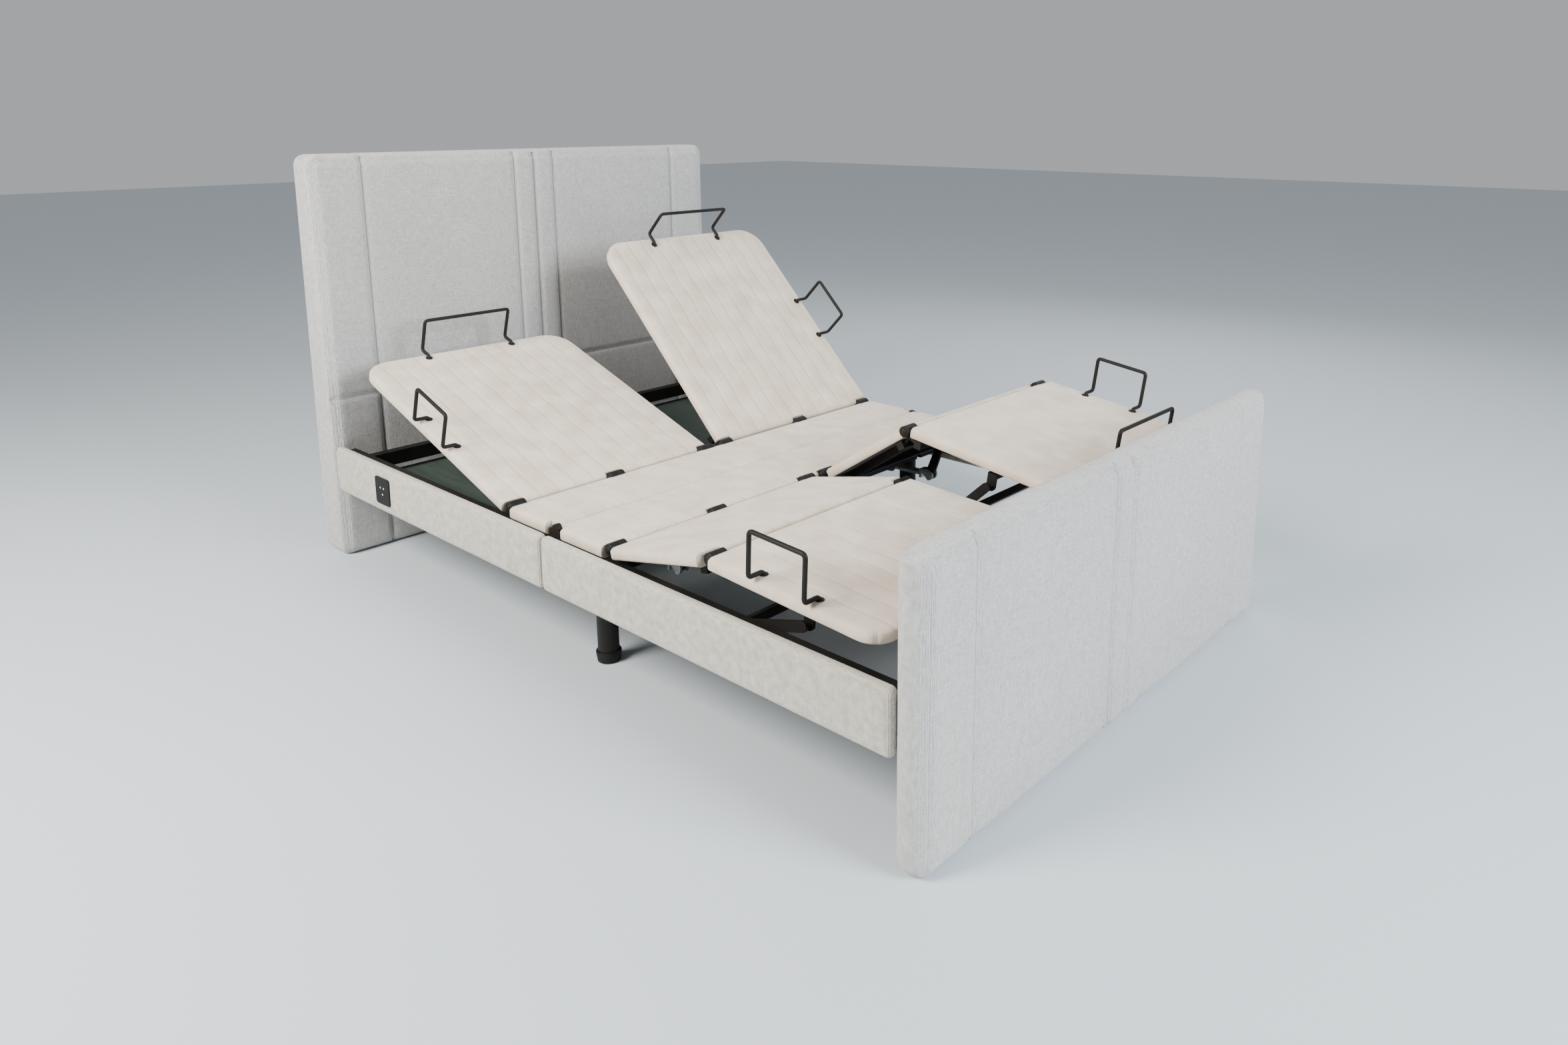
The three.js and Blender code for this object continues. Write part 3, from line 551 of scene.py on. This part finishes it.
def section_place(kind, side):
    """The matrix that takes a flat section, drawn with its hinge axis at the origin, to its rest place."""
    lift = joints[f"back_lift_{side}" if kind == "back" else f"leg_lift_{side}"]
    angle = rest_angle(lift["name"])
    if kind == "back":
        return Matrix.Translation((lift["pos_m"][0], 0, lift["pos_m"][2])) @ Matrix.Rotation(angle, 4, "Y")
    if kind == "thigh":
        return Matrix.Translation((lift["pos_m"][0], 0, lift["pos_m"][2])) @ Matrix.Rotation(-angle, 4, "Y")
    knee = joints[f"knee_fold_{side}"]
    net = angle * (ratios[knee["name"]] - 1)
    return Matrix.Translation((knee["pos_m"][0], 0, knee["pos_m"][2])) @ Matrix.Rotation(net, 4, "Y")


def flat_box(node, place):
    """The box of a CAD node in its section's own flat coordinates."""
    back = np.array(place.inverted())
    vertices = np.array([v.co for v in nodes[node].data.vertices])
    flat = vertices @ back[:3, :3].T + back[:3, 3]
    return flat.min(axis=0), flat.max(axis=0)


def box_tool(low, high):
    points, faces = grid_box(low, high, 10)
    mesh = bpy.data.meshes.new("notch_tool")
    mesh.from_pydata([tuple(p) for p in points], [], faces)
    tool = bpy.data.objects.new("notch_tool", mesh)
    bpy.context.collection.objects.link(tool)
    return tool


def cut_notches(piece, tools):
    for tool in tools:
        tool.matrix_world = piece.matrix_world
        notch = piece.modifiers.new("notch", "BOOLEAN")
        notch.operation = "DIFFERENCE"
        notch.solver = "EXACT"
        notch.object = tool
    bpy.context.view_layer.update()
    shaped = bpy.data.meshes.new_from_object(piece.evaluated_get(bpy.context.evaluated_depsgraph_get()))
    piece.modifiers.clear()
    piece.data = shaped
    for tool in tools:
        bpy.data.objects.remove(tool)


def quilt(points, top_face, along, across, depth):
    """Wavy quilting channels that run along the bed on the top face."""
    wave = across + sway_reach * np.sin(along * sway_rate)
    channel = ((np.sin(wave * 2 * math.pi / quilt_pitch) + 1) / 2) ** 8
    points[:, 2] -= np.where(top_face, depth * channel, 0.0)


def from_edge(base, low, high):
    """How far each point of a board lies inside the nearest of its four sides."""
    along, across = base[:, 0], base[:, 1]
    return np.minimum.reduce([along - low[0], high[0] - along, across - low[1], high[1] - across])


def line_underside(piece):
    """A dark dust cloth is stapled under a moving section, inside its rolled edge."""
    piece.data.materials.append(dust_cloth)
    lowest = min(vertex.co.z for vertex in piece.data.vertices)
    for polygon in piece.data.polygons:
        if polygon.normal.z < -0.9 and polygon.center.z < lowest + 0.002:
            polygon.material_index = 1


deck_step = 0.0085
notch_half = 0.0225
notch_depth = 0.0168
quilt_depth = 0.0009
hem_drop, hem_width = 0.0022, 0.03
knee_end_gap = 0.007
hinge_inset, knee_inset, inner_inset = 0.029, 0.0373, 0.015
panel_edge = 0.0095


def deck_cover(kind, side, corner_radius):
    node = f"{kind}_panel_{side}"
    place = section_place(kind, side)
    low, high = flat_box(node, place)
    points, faces = grid_box(low, high, deck_step)
    base = points.copy()
    points = roll_edges(points, low, high, panel_edge)
    far_x, towards = (low[0], -1) if kind == "back" else (high[0], 1)
    if corner_radius:
        for edge_y, dy in ((low[1], -1), (high[1], 1)):
            points = round_plan_corner(points, (far_x, edge_y), (towards, dy), corner_radius)
    top = base[:, 2] == high[2]
    inside = from_edge(base, low, high)
    quilt(points, top & (inside > 0.02), base[:, 0], base[:, 1], quilt_depth)
    points[:, 2] -= np.where(top, hem_drop * np.exp(-inside / hem_width), 0.0)
    body = {"back": "back_", "thigh": "thigh_", "leg": "lower_leg_"}[kind] + side
    piece = mesh_piece(f"{kind}_cover_{side}", points, faces, deck_cloth, body, place)
    cut_notches(piece, [box_tool(a, b) for a, b in notch_boxes(kind, side, low, high)])
    line_underside(piece)
    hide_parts(node)
    return piece


def notch_boxes(kind, side, low, high):
    """Notches for the hinge plates, at the ends that turn on a hinge."""
    sign = -1 if side == "left" else 1
    depth, half, past = notch_depth, notch_half + 0.001, 0.02
    outer = max(abs(low[1]), abs(high[1]))
    inner = min(abs(low[1]), abs(high[1]))
    hinge_ys = [outer - hinge_inset, (outer + inner) / 2, inner + inner_inset]
    knee_ys = [outer - knee_inset, inner + inner_inset]
    ends = {"back": [(0, -1, hinge_ys)], "leg": [(0, 1, knee_ys)]}
    thigh_length = flat_box(f"thigh_panel_{side}", section_place("thigh", side))[1][0] + knee_end_gap
    ends["thigh"] = [(0, 1, hinge_ys), (thigh_length, -1, knee_ys)]
    found = []
    for x, towards, ys in ends[kind]:
        for y in ys:
            x_range = sorted((x - towards * past, x + towards * depth))
            far = outer + past if y == ys[0] else y + half
            y_range = sorted((sign * (y - half), sign * far))
            found.append(((x_range[0], y_range[0], low[2] - past), (x_range[1], y_range[1], high[2] + past)))
    return found


deck_covers = []
for side in ("left", "right"):
    for kind, corner_radius in (("back", 0.075), ("thigh", 0), ("leg", 0.05)):
        deck_covers.append(deck_cover(kind, side, corner_radius))
print(len(deck_covers), "lifting deck sections")

# %% [markdown]
# ## Seat strips
# Two fixed strips run across the whole bed between the lifting sections, one on each half of the
# steel frame. They are made like the deck sections, with notches on the sides that face a hinge.

# %% Seat strips
def seat_cover(node, hinge_x, towards):
    low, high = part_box(node)
    points, faces = grid_box(low, high, deck_step)
    base = points.copy()
    points = roll_edges(points, low, high, panel_edge)
    top = base[:, 2] == high[2]
    inside = from_edge(base, low, high)
    quilt(points, top & (inside > 0.015), base[:, 0], base[:, 1], quilt_depth)
    points[:, 2] -= np.where(top, hem_drop * np.exp(-inside / hem_width), 0.0)
    piece = mesh_piece(node.replace("panel", "cover"), points, faces, deck_cloth, "base")
    outer = high[1]
    inner = 0.022
    depth, half, past = notch_depth, notch_half + 0.001, 0.02
    split_x = (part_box("seat_panel_head")[1][0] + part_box("seat_panel_foot")[0][0]) / 2
    tools = []
    for sign in (-1, 1):
        for y in (outer - hinge_inset, (outer + inner) / 2, inner + inner_inset):
            far = outer + past if y > 0.5 else y + half
            xs = sorted((hinge_x - towards * past, hinge_x + towards * depth))
            ys = sorted((sign * (y - half), sign * far))
            tools.append(box_tool((xs[0], ys[0], low[2] - past), (xs[1], ys[1], high[2] + past)))
        ys = sorted((sign * (outer - 0.018), sign * (outer + past)))
        near, away = (split_x - 0.03, ys[0], low[2] - past), (split_x + 0.03, ys[1], high[2] + past)
        tools.append(box_tool(near, away))
    cut_notches(piece, tools)
    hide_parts(node)
    return piece


back_axis_x = joints["back_lift_left"]["pos_m"][0]
thigh_axis_x = joints["leg_lift_left"]["pos_m"][0]
seat_covers = [seat_cover("seat_panel_head", back_axis_x, 1)]
seat_covers.append(seat_cover("seat_panel_foot", thigh_axis_x, -1))
print(len(seat_covers), "seat strips")

# %% [markdown]
# ## Mattress retainers
# Eight bent wires keep the mattress in place. The model's wires are eight-sided, so each one is drawn
# again as a smooth tube that bends over the edge of the board and hooks down into the deck through a
# small black grommet.

# %% Mattress retainers
def bent_route(corners, bend, steps=6):
    """Corner points joined by straight runs and round bends."""
    route = [Vector(corners[0])]
    for before, here, after in zip(corners, corners[1:], corners[2:]):
        here = Vector(here)
        start = here + (Vector(before) - here).normalized() * bend
        end = here + (Vector(after) - here).normalized() * bend
        for i in range(steps + 1):
            t = i / steps
            route.append(start * (1 - t) ** 2 + here * 2 * t * (1 - t) + end * t ** 2)
    return route + [Vector(corners[-1])]


def tube_piece(name, route, radius, finish, body, place=Matrix.Identity(4)):
    curve = bpy.data.curves.new(name, "CURVE")
    curve.dimensions = "3D"
    curve.bevel_depth = radius
    curve.bevel_resolution = 3
    curve.use_fill_caps = True
    spline = curve.splines.new("POLY")
    spline.points.add(len(route) - 1)
    for point, co in zip(spline.points, route):
        point.co = (*co, 1)
    curve.materials.append(finish)
    piece = bpy.data.objects.new(name, curve)
    bpy.context.collection.objects.link(piece)
    piece.matrix_world = place
    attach(piece, body)
    return piece


def lathe_piece(name, profile, finish, body, place=Matrix.Identity(4), sides=40):
    """A closed turned shape from a profile of (radius, height) that starts and ends on the axis."""
    points = [(0, 0, profile[0][1])]
    for radius, height in profile[1:-1]:
        for i in range(sides):
            angle = 2 * math.pi * i / sides
            points.append((radius * math.cos(angle), radius * math.sin(angle), height))
    points.append((0, 0, profile[-1][1]))
    faces, rings = [], len(profile) - 2
    for i in range(sides):
        j = (i + 1) % sides
        faces.append((0, 1 + j, 1 + i))
        faces.append((len(points) - 1, 1 + (rings - 1) * sides + i, 1 + (rings - 1) * sides + j))
        for ring in range(rings - 1):
            a = 1 + ring * sides
            faces.append((a + i, a + j, a + sides + j, a + sides + i))
    piece = mesh_piece(name, points, faces, finish, body, place)
    smooth_by_angle(piece)
    return piece


def smooth_by_angle(piece, degrees=35):
    piece.data.shade_smooth()
    piece.data.set_sharp_from_angle(angle=math.radians(degrees))


wire_reach = 0.040


def retainer(node, kind, side, body):
    place = section_place(kind, side)
    low, high = flat_box(node, place)
    radius = 0.005
    deck = flat_box(f"{kind}_panel_{side}", place)[1][2]
    base_z, top_z = low[2] + radius, high[2] - radius
    hook = deck - 0.006
    if "side" in node:
        sign = -1 if side == "left" else 1
        a, b = low[0] + radius, high[0] - radius
        out = (high[1] if sign > 0 else low[1]) - sign * radius
        foot = out - sign * wire_reach
        route = [(a, foot, hook), (a, foot, base_z), (a, out, base_z), (a, out, top_z),
                 (b, out, top_z), (b, out, base_z), (b, foot, base_z), (b, foot, hook)]
    else:
        towards = -1 if kind == "back" else 1
        a, b = low[1] + radius, high[1] - radius
        out = (high[0] if towards > 0 else low[0]) - towards * radius
        foot = out - towards * wire_reach
        route = [(foot, a, hook), (foot, a, base_z), (out, a, base_z), (out, a, top_z),
                 (out, b, top_z), (out, b, base_z), (foot, b, base_z), (foot, b, hook)]
    bends = bent_route(route, 0.010)
    piece = tube_piece(node.replace("wire", "retainer"), bends, radius, wire_coat, body, place)
    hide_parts(node)
    for number, end in enumerate((route[0], route[-1])):
        ring = [(0, -0.001), (0.0095, -0.001), (0.0098, 0.0012), (0.0075, 0.0026), (0, 0.0026)]
        spot = place @ Matrix.Translation((end[0], end[1], deck - 0.0006))
        grommet = lathe_piece(f"{node}_grommet_{number + 1}", ring, black_plastic, body, spot, 20)
    return piece


retainers = []
for side in ("left", "right"):
    retainers.append(retainer(f"back_side_wire_{side}", "back", side, f"back_{side}"))
    retainers.append(retainer(f"back_head_wire_{side}", "back", side, f"back_{side}"))
    retainers.append(retainer(f"leg_side_wire_{side}", "leg", side, f"lower_leg_{side}"))
    retainers.append(retainer(f"leg_foot_wire_{side}", "leg", side, f"lower_leg_{side}"))
print(len(retainers), "retainers")

# %% [markdown]
# ## Legs and socket
# The two middle legs are round steel posts on plastic feet. The socket is a square black cover on the
# left rail near the headboard, with three pale contacts.

# %% Legs and socket
for side in ("left", "right"):
    low, high = (Vector(c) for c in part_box(f"leg_cap_{side}"))
    centre = Matrix.Translation(((low.x + high.x) / 2, (low.y + high.y) / 2, 0))
    radius, tall = (high.x - low.x) / 2, high.z
    cap_profile = [(0, 0), (radius - 0.006, 0), (radius - 0.003, 0.002), (radius, tall - 0.004),
                   (radius - 0.001, tall - 0.001), (radius - 0.004, tall), (0, tall)]
    cap = lathe_piece(f"leg_foot_{side}", cap_profile, black_plastic, "base", centre)
    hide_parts(f"leg_cap_{side}")
    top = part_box(f"leg_{side}")[1][2] - 0.005
    post_radius = 0.025
    post_profile = [(0, tall + 0.0004), (post_radius, tall + 0.0004), (post_radius, top - 0.02),
                    (post_radius + 0.003, top - 0.012), (post_radius + 0.003, top), (0, top)]
    post = lathe_piece(f"leg_post_{side}", post_profile, black_coat, "base", centre)
    flange_points, flange_faces = grid_box((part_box(f"leg_{side}")[0][0], low.y - 0.01, top),
                                           (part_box(f"leg_{side}")[1][0], high.y + 0.01, top + 0.005), 0.02)
    flange = mesh_piece(f"leg_flange_{side}", flange_points, flange_faces, black_coat, "base", smooth=False)
    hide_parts(f"leg_{side}")

socket_low, socket_high = (Vector(c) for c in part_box("socket_plate"))
points, faces = grid_box(socket_low, socket_high, 0.0025)
points = np.array(points)
turned = points[:, [0, 2, 1]].copy()
for corner_x, dx in ((socket_low.x, -1), (socket_high.x, 1)):
    for corner_z, dz in ((socket_low.z, -1), (socket_high.z, 1)):
        turned = round_plan_corner(turned, (corner_x, corner_z), (dx, dz), 0.008)
plate = mesh_piece("socket_cover", turned[:, [0, 2, 1]], faces, black_plastic, "base", smooth=False)
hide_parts("socket_plate")
middle = (socket_low + socket_high) / 2
for number, (dx, dz) in enumerate(((-0.009, 0.009), (0.009, 0.009), (0, -0.009))):
    spot = Matrix.Translation((middle.x + dx, socket_low.y + 0.0009, middle.z + dz))
    turn = spot @ Matrix.Rotation(math.pi / 2, 4, "X")
    pin_profile = [(0, -0.002), (0.0030, -0.002), (0.0030, 0.0006), (0.0025, 0.0011), (0, 0.0011)]
    contact = lathe_piece(f"socket_contact_{number + 1}", pin_profile, pale_plastic, "base", turn, 20)
print("legs and socket")

# %% [markdown]
# ## Steelwork and drives
# Tubes, bars, hinge plates and actuators keep the model's exact shape. A small bevel on every hard
# edge catches the light as rolled steel does, without touching the points underneath.

# %% Steelwork and drives
def dress(node, finish, bevel=0.0012):
    piece = nodes[node]
    piece.data.materials.clear()
    piece.data.materials.append(finish)
    edge = piece.modifiers.new("rolled_edge", "BEVEL")
    edge.width = bevel
    edge.segments = 2
    edge.limit_method = "ANGLE"
    edge.angle_limit = math.radians(40)
    edge.use_clamp_overlap = True


shown = {"headboard", "footboard", "socket_plate", "seat_panel_head", "seat_panel_foot",
         "leg_left", "leg_right"}
shown_starts = ("side_rail_", "leg_cap_")
for node in sorted(nodes):
    if node in shown or node.startswith(shown_starts) or "_wire_" in node:
        continue
    if node.split("_")[1] == "panel":
        continue
    if node.endswith("_housing"):
        dress(node, grey_plastic, 0.002)
    elif node.endswith("_rod"):
        dress(node, rod_steel, 0.0008)
    # The bottom board gets the dark green whose darkness is painted shade from under the frame.
    elif node == "bottom_board":
        dress(node, shaded_floor_green, 0.001)
    elif node == "control_box":
        dress(node, black_plastic, 0.003)
    elif node == "wiring_loom":
        dress(node, cable_rubber, 0.0002)
    else:
        dress(node, black_coat)
print("steelwork dressed")

# %% [markdown]
# ## Hinge knuckles
# Black moulded sleeves fill the notches round each hinge. They hide the plates and stand a little proud
# of the deck, as a row of dark knuckles across the bed. Each one turns on its own hinge line.

# %% Hinge knuckles
knuckle_radius, knuckle_end, knuckle_chamfer = 0.0138, 0.0115, 0.0022


def knuckle(name, x, y_low, y_high, z, body, place=Matrix.Identity(4)):
    half = (y_high - y_low) / 2
    shoulder = half - knuckle_chamfer
    profile = [(0, -half), (knuckle_end, -half), (knuckle_radius, -shoulder), (knuckle_radius, shoulder),
               (knuckle_end, half), (0, half)]
    turn = Matrix.Translation((x, (y_low + y_high) / 2, z)) @ Matrix.Rotation(-math.pi / 2, 4, "X")
    sleeve = lathe_piece(name, profile, black_plastic, body, place @ turn, 28)
    return sleeve


outer_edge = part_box("seat_panel_head")[1][1]
inner_edge = flat_box("back_panel_right", section_place("back", "right"))[0][1]
deck_ys = (outer_edge - hinge_inset, (outer_edge + inner_edge) / 2, inner_edge + inner_inset)
knuckles = []
for side, sign in (("left", -1), ("right", 1)):
    for title, joint in (("back", joints["back_lift_left"]), ("thigh", joints["leg_lift_left"])):
        for number, y in enumerate(deck_ys):
            reach = sorted((sign * (y - notch_half), sign * (y + notch_half)))
            knuckles.append(knuckle(f"{title}_knuckle_{side}_{number + 1}", joint["pos_m"][0], *reach,
                                    joint["pos_m"][2], "base"))
    knee_place = section_place("thigh", side)
    knee_at = Vector((joints[f"knee_fold_{side}"]["pos_m"][0], 0, joints[f"knee_fold_{side}"]["pos_m"][2]))
    knee = knee_place.inverted() @ knee_at
    for number, y in enumerate((outer_edge - knee_inset, inner_edge + inner_inset)):
        reach = sorted((sign * (y - notch_half), sign * (y + notch_half)))
        knuckles.append(knuckle(f"knee_knuckle_{side}_{number + 1}", knee.x, *reach, knee.z,
                                f"thigh_{side}", knee_place))
print(len(knuckles), "hinge knuckles")

# %% [markdown]
# ## Bolt heads
# Every hinge turns on a shouldered bolt. A low round head closes each end of every knuckle. They are
# plain turned pieces, repeated along each hinge line, because only their rims ever catch the light.

# %% Bolt heads
def bolt_head(name, spot, turn, sleeve):
    profile = [(0, 0), (0.0085, 0), (0.0085, 0.0012), (0.0070, 0.0024), (0.0035, 0.0030), (0, 0.0030)]
    body = "base" if "knee" not in sleeve.name else "thigh_" + ("left" if "left" in sleeve.name else "right")
    head = lathe_piece(name, profile, black_coat, body, Matrix.Translation(spot) @ turn, 20)
    return head


bolts = 0
for sleeve in knuckles:
    half = max(corner[2] for corner in sleeve.bound_box)
    for end in (-1, 1):
        spot = sleeve.matrix_world @ Vector((0, 0, end * (half - 0.0005)))
        turn = Matrix.Rotation(-end * math.pi / 2, 4, "X")
        bolt_head(f"{sleeve.name}_bolt_{end + 2}", spot, turn, sleeve)
        bolts += 1
print(bolts, "bolt heads")
